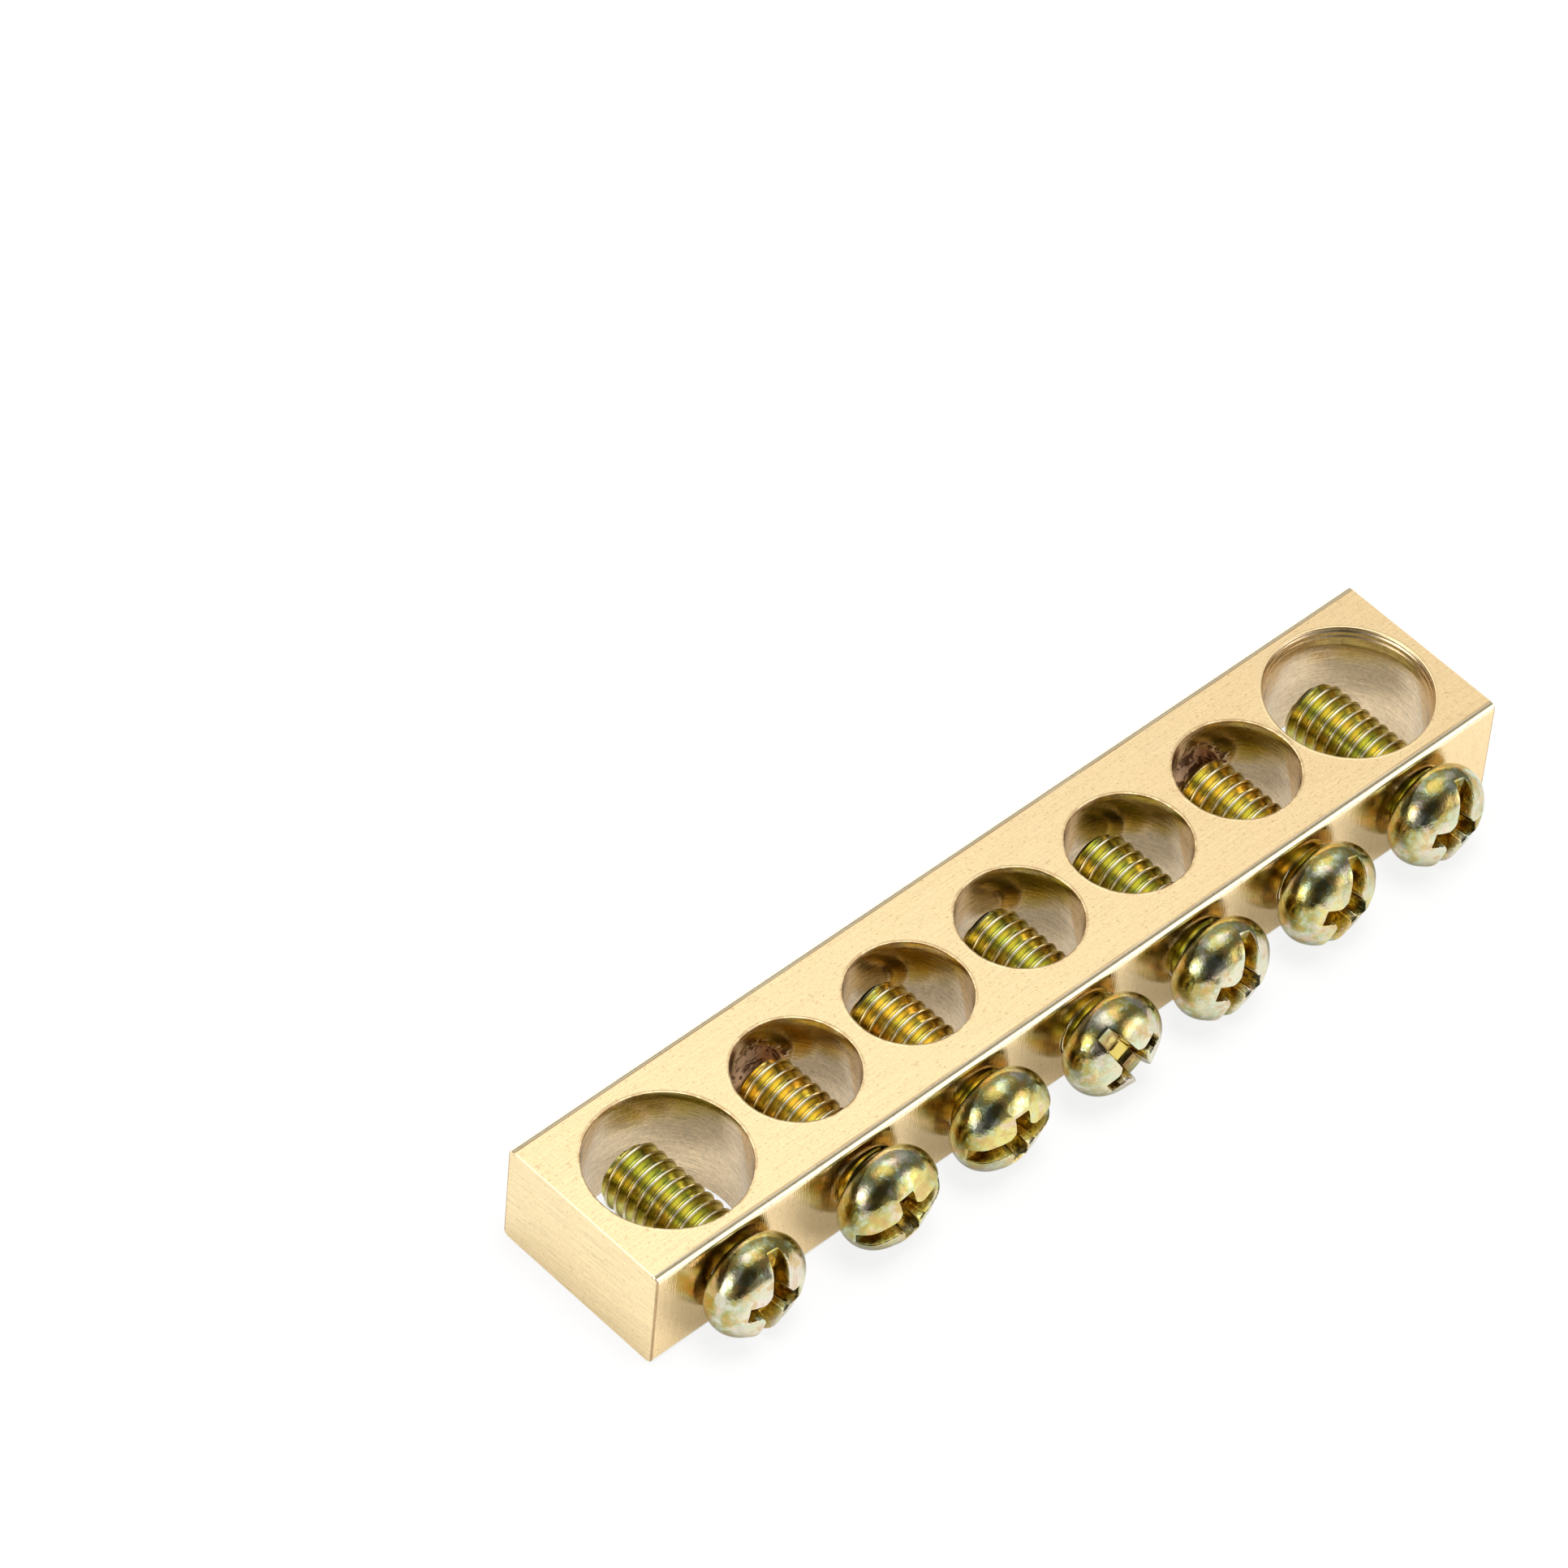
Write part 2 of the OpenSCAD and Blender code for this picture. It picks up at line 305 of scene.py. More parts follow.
# %% Sizes of the screws
head_r, head_t = 3.0, 2.8
girth_h = 1.0
flank_r = 1.55
slot_top, slot_floor, slot_depth = 0.6, 0.4, 1.2
wing_top, wing_foot, wing_depth = 1.9, 1.25, 1.5
wing_half_top, wing_half_floor = 0.48, 0.42
pit_depth = 1.9
eye_top, eye_foot = 0.95, 0.55
lobe_round, lobe_reach = 0.5, 1.35
edge_soft, inner_soft, eye_soft, eye_round = 0.2, 0.06, 0.15, 0.2
swell_h, swell_w, swell_fade = 0.08, 0.3, 0.6
slot_turn = np.radians([80, 11, 2, 121, 72, 70, 74])
thread_turn = np.radians([16, 98, 209, 211, 121, 265, 209])
flank_x = head_r - flank_r
crown_drop = head_t - girth_h
crown_r = (flank_x ** 2 + crown_drop ** 2 - flank_r ** 2) / (2 * (crown_drop - flank_r))
join_x = crown_r * flank_x / np.hypot(flank_x, crown_r - crown_drop)
print("crown radius", round(crown_r, 2), "mm, it meets the flank at", round(join_x, 2), "mm")


# %% Crown and recess
def soft_min(a, b, k):
    """The lower of a and b, with the corner between them rounded over a height k."""
    h = np.clip(k - np.abs(a - b), 0, None) / k
    return np.minimum(a, b) - h * h * k / 4


def crown_height(r):
    """Height over the underside: the crown's large arc, then the flank's small arc down to the girth."""
    on_crown = head_t - crown_r + np.sqrt(np.maximum(crown_r ** 2 - r ** 2, 0))
    on_flank = girth_h + np.sqrt(np.maximum(flank_r ** 2 - (r - flank_x) ** 2, 0))
    return np.where(r < join_x, on_crown, on_flank)


def past_edge(u, v):
    """Distance past the recess's top edge, seen from above, with the corners of the crown's lobes rounded."""
    slot = np.abs(v) - slot_top
    wing = np.maximum(np.abs(u) - wing_half_top, np.abs(v) - wing_top)
    return soft_min(soft_min(slot, wing, lobe_round), np.hypot(u, v) - eye_top, eye_round)


def recess_wall(across, floor, top, depth):
    """Height of a wall that starts at the recess's depth at floor, and reaches the head's height at top."""
    return head_t - depth + (np.abs(across) - floor) * depth / (top - floor)


def recess_wing(run, across):
    """Height of one wing: its foot rises from the pit to the wing's depth, then to the surface at its end."""
    inside = pit_depth + (wing_depth - pit_depth) * np.abs(run) / wing_foot
    outside = wing_depth * (wing_top - np.abs(run)) / (wing_top - wing_foot)
    foot = np.where(np.abs(run) < wing_foot, inside, outside)
    return np.maximum(head_t - foot, recess_wall(across, wing_half_floor, wing_half_top, wing_depth))


def recess_height(u, v):
    """Height of the recess, rising steeply past its walls: slot along u, wings on both, eye in the middle."""
    r = np.hypot(u, v)
    slot = np.maximum(head_t - slot_depth, recess_wall(v, slot_floor, slot_top, slot_depth))
    eye = np.where(r < eye_foot, head_t - pit_depth + (pit_depth - wing_depth) * r / eye_foot,
                   recess_wall(r, eye_foot, eye_top, wing_depth))
    cross = np.minimum(recess_wing(u, v), recess_wing(v, u))
    lobe = np.maximum(past_edge(u, v), r - lobe_reach) * slot_depth / (slot_top - slot_floor)
    lobe = head_t + np.maximum(lobe, -slot_depth)
    return soft_min(soft_min(soft_min(slot, cross, inner_soft), eye, eye_soft), lobe, inner_soft)


print("depth at the middle of the recess:", round(float(head_t - recess_height(0.0, 0.0)), 2), "mm")

# %% [markdown]
# The lines of the head's grid run straight along the slot and across it, and crowd together at the recess's
# walls, so that the edges are crisp. A round grid would cut the slot's edges into steps. Outside the core the
# chords close up on the girth, and from there rings go down the flank and in over the flat underside.

# %% Table of the head
core_r, core_share = 2.05, 0.8
line_runs = ((0, 0.38, 6), (0.40, 0.66, 14), (0.7, 1.0, 7), (1.08, 1.3, 4), (1.34, 1.96, 11))
outer_lines, flank_rows = 15, 8
under_rings = (2.4, 1.0, 0)
touching = 1e-6


def half_lines():
    """Distances of the grid's lines from the middle, close together where a wall of the recess stands."""
    lines = np.unique(np.round(np.concatenate([np.linspace(*run) for run in line_runs]), 4))
    return np.concatenate([lines, [core_r]])


def head_points():
    """The head above its girth, slot along u: a straight chord from rim to rim at each v."""
    inner = half_lines()
    outer = np.sin(np.linspace(0, pi / 2, outer_lines))[1:]
    v_half = np.concatenate([inner, core_r + (head_r - core_r) * outer])
    v = np.concatenate([-v_half[:0:-1], v_half])[:, None]
    chord = np.sqrt(np.maximum(head_r ** 2 - v ** 2, 0))
    core = np.minimum(core_r, core_share * chord)
    u_half = np.concatenate([core * inner[None, :] / core_r, core + (chord - core) * outer[None, :]], 1)
    u = np.concatenate([-u_half[:, :0:-1], u_half], 1)
    v = np.broadcast_to(v, u.shape)
    r = np.hypot(u, v)
    swell = np.exp(-(np.maximum(past_edge(u, v), 0) / swell_w) ** 2)
    swell = swell * np.clip((head_r - r) / swell_fade, 0, 1)
    crown = crown_height(np.minimum(r, head_r)) + swell_h * swell
    h = soft_min(crown, recess_height(u, v), edge_soft)
    return u, v, np.where(r > head_r - touching, girth_h, np.maximum(h, girth_h))


def below_girth(u, v):
    """Rows that carry the girth's loop down the flank's arc, in over the flat underside and to its middle."""
    sweep = np.arcsin(girth_h / flank_r) * np.linspace(0, 1, flank_rows)[1:]
    r = np.concatenate([flank_x + flank_r * np.cos(sweep), under_rings])
    h = np.concatenate([girth_h - flank_r * np.sin(sweep), np.zeros(len(under_rings))])
    a = np.arctan2(v, u)
    h = np.broadcast_to(h[:, None], (len(r), len(a)))
    return np.stack([r[:, None] * np.cos(a), r[:, None] * np.sin(a), h], -1)


def head_surface():
    """Points and faces of the whole head in its own axes."""
    u, v, h = head_points()
    left, right = np.stack([u[:, 0], v[:, 0]], 1), np.stack([u[:, -1], v[:, -1]], 1)
    girth = np.concatenate([right, left[-2:0:-1]])
    rings = below_girth(*girth.T)
    rings = np.concatenate([np.column_stack([girth, np.full(len(girth), girth_h)])[None], rings])
    faces = [grid_faces(*u.shape), grid_faces(len(rings), len(girth), u.size, wrap=True)]
    return np.concatenate([np.stack([u, v, h], -1).reshape(-1, 3), rings.reshape(-1, 3)]), faces


head, head_faces = head_surface()
print("points of a head:", len(head))

# %% [markdown]
# The thread is rolled on the shank. It is one line winding round the screw: its crest, its flanks and its
# root are thirteen lines that climb together by one pitch a turn, and the last line of a turn is joined to
# the first line of the next. A table whose rows are steps round the screw gives the helix without any seam.
# A Screw modifier could wind a profile too, but the tip's chamfer would then have to be cut. The profile is
# given line by line: its place along the thread in pitches, and its depth under the crest in mm.

# %% Thread surface
pitch = 0.7
steps_round = 96
tip_chamfer = 0.45
tip_gap = 0.25
fold = 0.3
spare_turns = 2
thread_len = bar_w / 2 + hole_r[3] - tip_gap
root_at = 0.5
thread_start = -2.105
profile = np.array([[-0.085, 0.035], [-0.06, 0.009], [-0.03, 0], [0.03, 0], [0.06, 0.009], [0.085, 0.035],
                    [0.25, 0.235], [0.40, 0.405], [0.45, 0.427], [0.5, 0.43], [0.55, 0.427],
                    [0.60, 0.405], [0.75, 0.235]])


def trim(s, r):
    """Shank outline: r along the thread, chamfered at the tip, and folded flat to the axis at both ends."""
    end, inside = thread_len, -root_at
    r = np.minimum(r, np.maximum(thread_r - (s - (end - tip_chamfer)), 0))
    over_end = np.maximum(s - end, 0)
    over_start = np.maximum(inside - s, 0)
    r = np.where(over_end > 0, np.maximum((thread_r - tip_chamfer) * (1 - over_end / fold), 0), r)
    r = np.where(over_start > 0, np.maximum(r * (1 - over_start / fold), 0), r)
    return np.clip(s, inside, end), r


def thread_points(turn):
    """Rows are steps round the screw over all turns, columns the profile's lines, s the way along."""
    turns = int(np.ceil((thread_len - thread_start + 2 * fold) / pitch)) + spare_turns
    step = np.arange(turns * steps_round + 1)
    a = 2 * pi * step / steps_round
    s = thread_start + pitch * step[:, None] / steps_round + pitch * profile[None, :, 0]
    s, r = trim(s, thread_r - np.broadcast_to(profile[None, :, 1], s.shape))
    a = a[:, None] + turn
    return np.stack([r * np.cos(a), r * np.sin(a), s], -1)


def thread_faces(rows, cols, start):
    """Quads between neighbouring lines, and from the last line to the first line one turn later."""
    within = grid_faces(rows, cols, start)
    j = np.arange(rows - 1 - steps_round)
    last, first = j * cols + cols - 1, (j + steps_round) * cols
    between = np.stack([last, first, first + cols, last + cols], -1) + start
    return [within, between]


print("thread", round(thread_len, 2), "mm long, pitch", pitch)

# %% [markdown]
# All seven screws are the same part. Each has its own turn of the head and of the thread, and stands off the
# bar as far as its box in the frame says. They could share one mesh, placed seven times, but the export wants
# each object at the origin with its place in its mesh, so each screw gets a mesh of its own.

# %% Build the seven screws
def screw(name, i):
    """One screw at its hole: head and shank, each with its own turn, laid along Y with the head facing -Y."""
    under = screw_tip[i] - thread_len
    c, s = np.cos(slot_turn[i]), np.sin(slot_turn[i])
    across, up = head[:, 0] * c - head[:, 1] * s, head[:, 0] * s + head[:, 1] * c
    laid_head = np.stack([hole_at[i, 0] + across, under - head[:, 2], screw_z + up], 1)
    rows = thread_points(thread_turn[i])
    x, y, s = rows.reshape(-1, 3).T
    shank = np.stack([hole_at[i, 0] + x, under + s, screw_z - y], 1)
    winding = thread_faces(*rows.shape[:2], len(head))
    return build_mesh(name, np.concatenate([laid_head, shank]), head_faces + winding)


screws = [screw(f"screw_{n}", n - 1) for n in numbers]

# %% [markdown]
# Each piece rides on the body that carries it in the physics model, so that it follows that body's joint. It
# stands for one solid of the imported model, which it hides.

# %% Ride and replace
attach(bar, "bar")
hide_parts("brass_bar")
for n, piece in zip(numbers, screws):
    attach(piece, f"screw_{n}")
    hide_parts(screw_names[n - 1])
print("pieces that ride:", 1 + len(screws))


# %% [markdown]
# The finish follows the way each face was made. For that the shader must know where on the piece it is, so
# each mesh carries a few sets of numbers at its corners: which kind of face this is, a position that suits
# the tool that cut it, and how golden the film on this screw is. They are worked out from the finished mesh,
# whole arrays at a time. A face's kind is told from its normal and its place.

# %% Reading and storing corners
def corner_arrays(mesh):
    """Corner positions in mm, the face index of each corner, and the faces' centres (mm) and normals."""
    co = np.empty(len(mesh.vertices) * 3)
    mesh.vertices.foreach_get("co", co)
    corner = np.empty(len(mesh.loops), dtype=np.int64)
    mesh.loops.foreach_get("vertex_index", corner)
    total = np.empty(len(mesh.polygons), dtype=np.int64)
    mesh.polygons.foreach_get("loop_total", total)
    centre, normal = np.empty(len(total) * 3), np.empty(len(total) * 3)
    mesh.polygons.foreach_get("center", centre)
    mesh.polygons.foreach_get("normal", normal)
    return (co.reshape(-1, 3)[corner] / MM, np.repeat(np.arange(len(total)), total),
            centre.reshape(-1, 3) / MM, normal.reshape(-1, 3))


def store(mesh, name, values):
    """Store three numbers per corner under this name."""
    layer = mesh.attributes.new(name, "FLOAT_VECTOR", "CORNER")
    layer.data.foreach_set("vector", np.ascontiguousarray(values, dtype=np.float32).ravel())


# %% Kinds of face on the bar
wall_below, end_above, side_above, edge_above = 0.8, 0.9, 0.7, 0.1
bore_reach, end_reach, side_reach = 0.3, 0.1, 0.15
torn_from, torn_to = 0.8, 5

at, face, centre, normal = corner_arrays(bar.data)
facing = np.abs(normal)
off_middle = np.abs(centre[:, 1])
cell = np.searchsorted(webs, centre[:, 0])
away = centre[:, :2] - hole_at[cell]
in_bore = (facing[:, 2] < wall_below) & (np.hypot(*away.T) < hole_r[cell] + mouth_step + bore_reach)
in_bore &= off_middle < bar_w / 2 - bore_reach
end_face = (facing[:, 0] > end_above) & (np.abs(centre[:, 0] - bar_mid) > bar_half - end_reach)
side_face = (facing[:, 1] > side_above) & (off_middle > bar_w / 2 - side_reach)
# The rounded long edges, which get a paler colour as a painted highlight.
edge = (off_middle > flat_half) & (facing[:, 1] > edge_above) & (facing[:, 2] > edge_above)
torn = np.isin(cell, overrun_holes) & (in_bore | (facing[:, 1] > side_above))
torn &= (away[:, 1] > torn_from) & (centre[:, 1] < torn_to)
to_screw = np.hypot(at[:, 0] - hole_at[cell[face], 0], at[:, 2] - screw_z)
store(bar.data, "faces", np.stack([in_bore, end_face, side_face], 1).astype(float)[face])
store(bar.data, "bore", np.column_stack([at[:, :2] - hole_at[cell[face]], hole_r[cell[face]]]))
# The third number marks the rounded long edges with their painted highlight.
store(bar.data, "torn", np.column_stack([torn[face], to_screw, edge[face]]))
print("faces of bores, ends and sides:", in_bore.sum(), end_face.sum(), side_face.sum())

# %% Places on the screws
golden = [0.1, 0.8, 0.7, 0.3, 0.1, 0.55, 0.2]
for i, piece in enumerate(screws):
    at = corner_arrays(piece.data)[0]
    under = screw_tip[i] - thread_len
    across, along, up = at[:, 0] - hole_at[i, 0], at[:, 1] - under, at[:, 2] - screw_z
    c, s = np.cos(slot_turn[i]), np.sin(slot_turn[i])
    store(piece.data, "head", np.stack([across * c + up * s, up * c - across * s, -along], 1))
    c, s = np.cos(thread_turn[i]), np.sin(thread_turn[i])
    store(piece.data, "thread", np.stack([across * c - up * s, -up * c - across * s, along], 1))
    store(piece.data, "film", np.full((len(at), 3), golden[i]))
print("film on the screws, from silver to gold:", golden)

# %% [markdown]
# Shader maths reads best as plain formulas. A small class wraps a node socket, so that plus, times and
# minus make Math nodes, and one method makes every other kind of node.


# %% Shader formulas
class Wire:
    """A node socket that can be added, subtracted, multiplied and divided like a number."""

    def __init__(self, net, socket):
        self.net, self.socket = net, socket

    def math(self, kind, *values):
        """A Math node of this kind on these values."""
        return self.net.node("Math", dict(enumerate(values)), operation=kind)

    def __add__(self, other):
        return self.math("ADD", self, other)

    def __sub__(self, other):
        return self.math("SUBTRACT", self, other)

    def __mul__(self, other):
        return self.math("MULTIPLY", self, other)

    def __truediv__(self, other):
        return self.math("DIVIDE", self, other)

    def __rsub__(self, other):
        return self.math("SUBTRACT", other, self)

    def __rtruediv__(self, other):
        return self.math("DIVIDE", other, self)

    def __abs__(self):
        return self.math("ABSOLUTE", self)

    __radd__, __rmul__ = __add__, __mul__


class Net:
    """A node tree and the ways to add to it."""

    def __init__(self, tree):
        self.tree = tree

    def node(self, kind, inputs=(), out=0, **settings):
        """A node of this kind, its settings first; inputs are wires or plain values; returns output out."""
        made = self.tree.nodes.new("ShaderNode" + kind)
        for key, value in settings.items():
            setattr(made, key, value)
        for key, value in dict(inputs).items():
            self.feed(made.inputs[key], value)
        return Wire(self, made.outputs[out])

    def feed(self, socket, value):
        """Link a wire to the socket, or set its plain value."""
        if isinstance(value, Wire):
            self.tree.links.new(value.socket, socket)
        else:
            socket.default_value = value

    def object_mm(self):
        """The place on the object, in mm."""
        return self.node("VectorMath", {0: self.node("TexCoord", out=3), 3: 1 / MM}, operation="SCALE")

    def stored(self, name, out=1):
        """The numbers stored on the mesh under this name: output 1 is all three, output 2 their mean."""
        return self.node("Attribute", out=out, attribute_name=name)

    def split(self, vector):
        """The three parts of a vector."""
        made = self.node("SeparateXYZ", {0: vector}).socket.node
        return [Wire(self, output) for output in made.outputs]

    def length(self, a, b):
        """Length of the line with sides a and b: the root of the sum of their squares."""
        return self.node("Math", {0: a * a + b * b}, operation="SQRT")

    def stretch(self, vector, scale):
        """The vector with each part multiplied by its own scale."""
        return self.node("VectorMath", {0: vector, 1: scale}, operation="MULTIPLY")

    def noise(self, vector, scale, detail=2.0, rough=0.5, warp=0.0):
        """Smooth noise from 0 to 1."""
        return self.node("TexNoise", {"Vector": vector, "Scale": scale, "Detail": detail, "Roughness": rough,
                                      "Distortion": warp})

    def rise(self, value, start, stop):
        """0 up to start, 1 from stop on, and a smooth rise between."""
        return self.node("MapRange", {0: value, 1: start, 2: stop}, interpolation_type="SMOOTHSTEP")

    def blend(self, share, first, second):
        """The first colour where share is 0, the second where it is 1."""
        return self.node("Mix", {0: share, 6: rgba(first), 7: rgba(second)}, out=2, data_type="RGBA")

    def shade(self, colour, factor):
        """The colour times a factor."""
        return self.node("VectorMath", {0: colour, 3: factor}, operation="SCALE")

    def bump(self, height):
        """A normal tilted by a height of which 1 stands for a hundredth of a millimetre."""
        return self.node("Bump", {"Strength": 0.5, "Distance": 0.01 * MM, "Height": height})


def rgba(colour):
    """A plain colour with its alpha; a wire stays as it is."""
    return colour if isinstance(colour, Wire) else (*colour, 1)


def metal(name):
    """A new metallic material, its net and its main shader node."""
    made = bpy.data.materials.new(name)
    made.use_nodes = True
    shader = made.node_tree.nodes["Principled BSDF"]
    shader.inputs["Metallic"].default_value = 1
    return made, Net(made.node_tree), shader


# %% [markdown]
# Brass: the stock was drawn, so fine lines run along it. Both ends were sawn, and the saw's lines lie across
# the end. The wire holes were drilled, and the drill left rings that climb the wall a little. The sides have
# fine cross lines. All this could be painted on an image, but noise in millimetres keeps its scale from any
# distance, and the stored numbers say which face gets which marks.

# %% Brass: places and marks of the tools
brass, net, shader = metal("brass")
mm = net.object_mm()
in_bore, on_end, on_side = net.split(net.stored("faces"))
on_top = 1 - in_bore - on_end - on_side
bar_x, bar_y, bar_z = net.split(mm)
bore_x, bore_y, bore_r = net.split(net.stored("bore"))
torn, to_screw, on_highlit_edge = net.split(net.stored("torn"))
past_wall = net.length(bore_x, bore_y) - bore_r
past_flat = abs(bar_y) - flat_half
from_end = bar_half - abs(bar_x - bar_mid)

saw_tilt = float(np.radians(6))
tilted = net.node("VectorRotate", {"Vector": mm, "Angle": saw_tilt}, rotation_type="X_AXIS")
drawn = net.noise(net.stretch(mm, (0.12, 9, 9)), 1.6, 3, 0.6)
cross = net.noise(net.stretch(mm, (14, 0.35, 0.35)), 1.0, 2, 0.6)
sawn = net.noise(net.stretch(tilted, (0.0, 0.22, 6.0)), 1.3, 4, 0.7, 0.3)
climb = net.noise(net.stretch(mm, (0.45, 0.45, 5)), 1.5, 4, 0.7, 0.2)
grit = net.noise(mm, 9.0, 3, 0.6)
grain = net.noise(mm, 4.0, 4, 0.7)
print("brass so far:", len(brass.node_tree.nodes), "nodes")

# %% [markdown]
# The brass is a little warmer towards the far end. In the holes it is a little greyer, and darker as painted
# shade. Old oil and air have left brown specks and larger pits, and the top is browner in uneven patches at
# each hole's rim. The rounded long edges are paler as a painted highlight. A thin brown line where the top
# meets them, and dark lines down the bar's corners, are painted dark reflections. In the two overrun pockets
# the metal is torn: bright shreds, with painted shade in the hollows between them.

# %% Brass: colour
near_brass, far_brass = (0.94, 0.74, 0.42), (0.94, 0.70, 0.375)
end_brass, side_brass = (0.91, 0.735, 0.43), (0.93, 0.70, 0.37)
# The holes' brass is greyer than the top, and darker as painted shade in the holes.
bore_brass_and_shade, edge_highlight_brass = (0.85, 0.68, 0.45), (0.98, 0.84, 0.56)
speck_brown, reflection_line_brown, corner_reflection_brown = (0.46, 0.28, 0.12), (0.42, 0.24, 0.10), (0.34, 0.20, 0.09)
torn_hollow_shade, torn_bright = (0.22, 0.10, 0.04), (1.0, 0.70, 0.46)
coolest_x, warmest_x = -34, 44

cloud = net.noise(mm, 0.35, 2, 0.5)
specks = net.rise(net.noise(net.stretch(mm, (0.6, 1, 1)), 6.5, 4, 0.8), 0.57, 0.68)
pits = net.rise(net.noise(mm, 2.3, 4, 0.8), 0.60, 0.70)
shred = net.noise(mm, 1.4, 3, 0.65, 0.6)
torn = torn * net.rise(to_screw + (shred - 0.5) * 2.4, 2.4, 1.9)
# The top is browner in uneven patches within a quarter millimetre of each hole's rim.
rim = net.rise(past_wall, 0.24, 0.02) * net.rise(bar_z, bar_h - 0.2, bar_h - 0.05)
rim = rim * net.rise(net.noise(mm, 1.4, 3, 0.7), 0.36, 0.60)
# A thin brown line where the flat top meets its rounded edges: a painted dark reflection.
line = net.rise(past_flat, -0.06, -0.01) * net.rise(past_flat, 0.07, 0.03)
line = line * net.rise(bar_z, bar_h - 0.3, bar_h - 0.2)
# Dark lines down the bar's corners at both ends: a painted dark reflection.
corner = net.rise(from_end, 0.13, 0.07) * net.rise(past_flat, edge_r - 0.13, edge_r - 0.07)
corner = corner * net.rise(drawn, 0.2, 0.5)

warm = net.rise(bar_x + (cloud - 0.5) * 30, coolest_x, warmest_x)
base = net.blend(warm, near_brass, far_brass)
# On the rounded long edges the paler colour is a painted highlight.
kinds = [(on_end, end_brass), (on_side, side_brass), (in_bore, bore_brass_and_shade), (on_highlit_edge, edge_highlight_brass)]
for share, colour in kinds:
    base = net.blend(share, base, colour)
tone = 1 + on_top * (drawn - 0.5) * 0.34 + on_end * (sawn - 0.5) * 0.8
tone = tone + in_bore * ((climb - 0.5) * 1.0 + (grain - 0.5) * 0.5)
tone = tone + on_side * (cross - 0.5) * 0.3 + (grain - 0.5) * 0.2 + (grit - 0.5) * 0.22
base = net.shade(base, tone)
base = net.blend(specks * 0.6 + pits * 0.45, base, speck_brown)
base = net.blend(line * net.rise(drawn, 0.25, 0.6) * 0.8, base, reflection_line_brown)
base = net.blend(rim * 0.75, base, speck_brown)
base = net.blend(corner * 0.8, base, corner_reflection_brown)
# In the torn pockets the dark colour of the shreds' low parts is painted shade in the hollows.
base = net.blend(torn, base, net.blend(net.rise(shred, 0.40, 0.50), torn_hollow_shade, torn_bright))
net.feed(shader.inputs["Base Color"], base)
print("brass with its colour:", len(brass.node_tree.nodes), "nodes")

# %% [markdown]
# The drilled walls and the sides are smoother than the top, and the sawn ends, the far hole's mouth and the
# torn metal are rougher. The same noises that draw the marks also give them their height, so that a line is
# never seen without its groove.

# %% Brass: roughness and bump
mouth_from_x, mouth_full_x = 18, 20
mouth_foot, mouth_top = bar_h - mouth_depth - 0.8, bar_h - mouth_depth - 0.2
mouth = in_bore * net.rise(bar_x, mouth_from_x, mouth_full_x) * net.rise(bar_z, mouth_foot, mouth_top)
rough = 0.20 - in_bore * 0.09 + mouth * 0.14 + torn * 0.3
rough = rough + on_end * 0.12 - on_side * 0.08 + (grit - 0.5) * 0.1
net.feed(shader.inputs["Roughness"], rough)
height = drawn * on_top * 0.5 + cross * on_side * 2.2 + sawn * on_end * 1.6 + climb * in_bore * 1.5
height = height + grit * 0.3 + in_bore * grain * 0.6 + grain * 0.3 + torn * shred * 9
net.feed(shader.inputs["Normal"], net.bump(height))
bar.data.materials.append(brass)
print("brass is made of", len(brass.node_tree.nodes), "nodes")

# %% [markdown]
# Plated steel: zinc under a yellow passivate, a film so thin that its colour changes with its thickness. It
# is silver to yellow on the crown, olive to gold on the flank, and golden brown in the recess, with brown,
# green and pink patches where its thickness changes. The flank's darkness and part of the recess's brown are
# painted shade. One material serves all seven screws, and the number stored on each mesh says how yellow its
# head is.

# %% Plated steel: places on the screw
steel, net, shader = metal("plated_steel")
mm = net.object_mm()
x, y, along = net.split(net.stored("thread"))
hu, hv, hh = net.split(net.stored("head"))
gold = net.stored("film", out=2)
hr = net.length(hu, hv)
deep = net.rise(hh, 2.5, 2.0) * net.rise(hr, 2.5, 2.1)
on_thread = net.rise(along, 0.0, 0.05)
film = net.noise(mm, 0.55, 3, 0.55, 0.6)
fine = net.noise(mm, 7.0, 4, 0.65)
patch = net.noise(mm, 1.3, 3, 0.6)
blush = net.noise(net.stretch(mm, (1, 1, -1)), 0.9, 3, 0.6)
dents = net.noise(mm, 1.8, 2, 0.5)
print("steel so far:", len(steel.node_tree.nodes), "nodes")

# %% Plated steel: colour of the head
silver_crown, yellow_crown = (0.74, 0.70, 0.52), (0.74, 0.66, 0.23)
shaded_gold_flank, shaded_green_flank = (0.43, 0.35, 0.09), (0.38, 0.40, 0.18)
brown_patch, green_patch, pink_patch = (0.62, 0.38, 0.15), (0.58, 0.74, 0.53), (0.82, 0.68, 0.66)
brown_recess_and_shade, gold_recess = (0.30, 0.17, 0.04), (0.76, 0.60, 0.16)

pale = net.rise(hh + (film - 0.5) * 2.4, 1.95, 2.75)
yellow = net.rise(gold + (film - 0.5) * 1.2, 0.15, 0.85)
crown = net.blend(yellow, silver_crown, yellow_crown)
# Below the crown the flank takes darker olive and gold: partly the film's colour, partly painted shade.
flank = net.blend(net.rise(blush, 0.42, 0.56), shaded_gold_flank, shaded_green_flank)
crown = net.blend(pale, flank, crown)
crown = net.blend(net.rise(patch, 0.52, 0.62) * 0.6, crown, brown_patch)
crown = net.blend(net.rise(patch, 0.48, 0.36) * 0.5, crown, green_patch)
crown = net.blend(net.rise(blush, 0.52, 0.62) * 0.4, crown, pink_patch)
